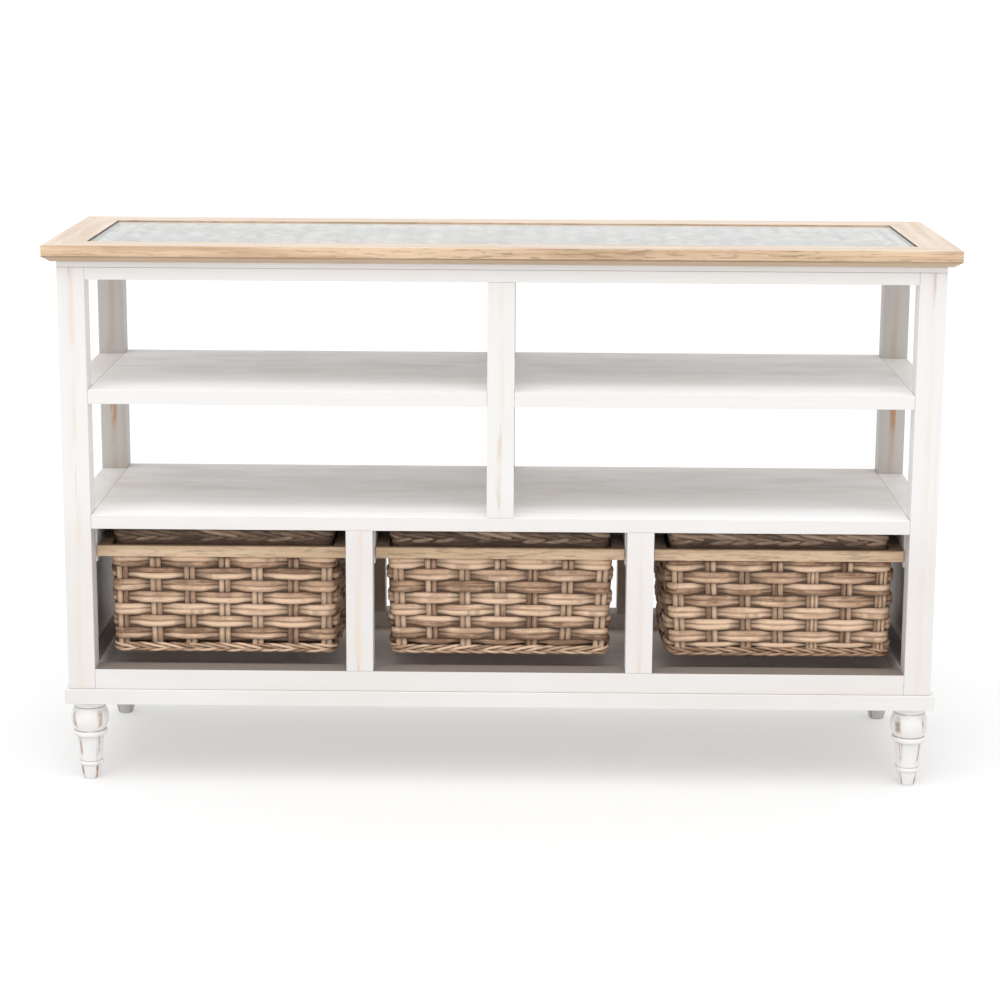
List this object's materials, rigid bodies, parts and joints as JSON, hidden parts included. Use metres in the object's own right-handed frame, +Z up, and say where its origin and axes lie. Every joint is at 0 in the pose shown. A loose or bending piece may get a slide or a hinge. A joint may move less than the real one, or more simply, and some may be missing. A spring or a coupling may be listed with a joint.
{
  "type": "console table with baskets",
  "caption": "Console table with a glazed oak top, open shelf tiers, pull-out wicker baskets in bays below, a plinth and turned legs.",
  "frame": {"origin": "on the floor, at the middle of the overall box's base", "axes": "+X to the table's right as seen from the front, -Y out of the front, +Z up"},
  "size_m": [1.5, 0.47, 0.92],
  "materials": {
    "white_paint": "distressed white paint, satin",
    "light_oak": "pale oiled oak, matt",
    "clear_glass": "polished",
    "white_weave": "whitewashed woven cane",
    "rim_wood": "bare wood, matt",
    "wicker": "natural rattan, matt"
  },
  "bodies": {
    "carcass": {"top_front_rail": "light_oak", "top_back_rail": "light_oak", "top_left_rail": "light_oak", "top_right_rail": "light_oak", "top_glass": "clear_glass", "top_woven_panel": "white_weave", "sub_top_board": "white_paint", "post_front_left": "white_paint", "post_front_right": "white_paint", "post_rear_left": "white_paint", "post_rear_right": "white_paint", "apron_front": "white_paint", "apron_back": "white_paint", "apron_left": "white_paint", "apron_right": "white_paint", "lower_shelf_rail_front": "white_paint", "lower_shelf_rail_back": "white_paint", "lower_shelf_rail_left": "white_paint", "lower_shelf_rail_right": "white_paint", "bottom_rail_front": "white_paint", "bottom_rail_back": "white_paint", "bottom_rail_left": "white_paint", "bottom_rail_right": "white_paint", "centre_post_front": "white_paint", "centre_post_rear": "white_paint", "upper_shelf_rail_front_left": "white_paint", "upper_shelf_rail_back_left": "white_paint", "upper_shelf_rail_left": "white_paint", "upper_shelf_rail_front_right": "white_paint", "upper_shelf_rail_back_right": "white_paint", "upper_shelf_rail_right": "white_paint", "upper_shelf_board": "white_paint", "lower_shelf_board": "white_paint", "bottom_board": "white_paint", "stile_front_left": "white_paint", "stile_rear_left": "white_paint", "side_panel_left": "white_paint", "stile_front_right": "white_paint", "stile_rear_right": "white_paint", "side_panel_right": "white_paint", "plinth_front": "white_paint", "plinth_back": "white_paint", "plinth_left": "white_paint", "plinth_right": "white_paint", "leg_front_left": "white_paint", "leg_front_right": "white_paint", "leg_rear_left": "white_paint", "leg_rear_right": "white_paint", "runner_left_bay_left": "white_paint", "runner_left_bay_right": "white_paint", "runner_centre_bay_left": "white_paint", "runner_centre_bay_right": "white_paint", "runner_right_bay_left": "white_paint", "runner_right_bay_right": "white_paint"},
    "basket_left": {"basket_rim_left": "rim_wood", "basket_tub_left": "wicker"},
    "basket_centre": {"basket_rim_centre": "rim_wood", "basket_tub_centre": "wicker"},
    "basket_right": {"basket_rim_right": "rim_wood", "basket_tub_right": "wicker"}
  },
  "joints": [
    {"name": "basket_left_slide", "type": "slide", "parent": "carcass", "child": "basket_left", "axis": [0, -1, 0], "range_m": [0, 0.42]},
    {"name": "basket_centre_slide", "type": "slide", "parent": "carcass", "child": "basket_centre", "axis": [0, -1, 0], "range_m": [0, 0.42]},
    {"name": "basket_right_slide", "type": "slide", "parent": "carcass", "child": "basket_right", "axis": [0, -1, 0], "range_m": [0, 0.42]}
  ]
}
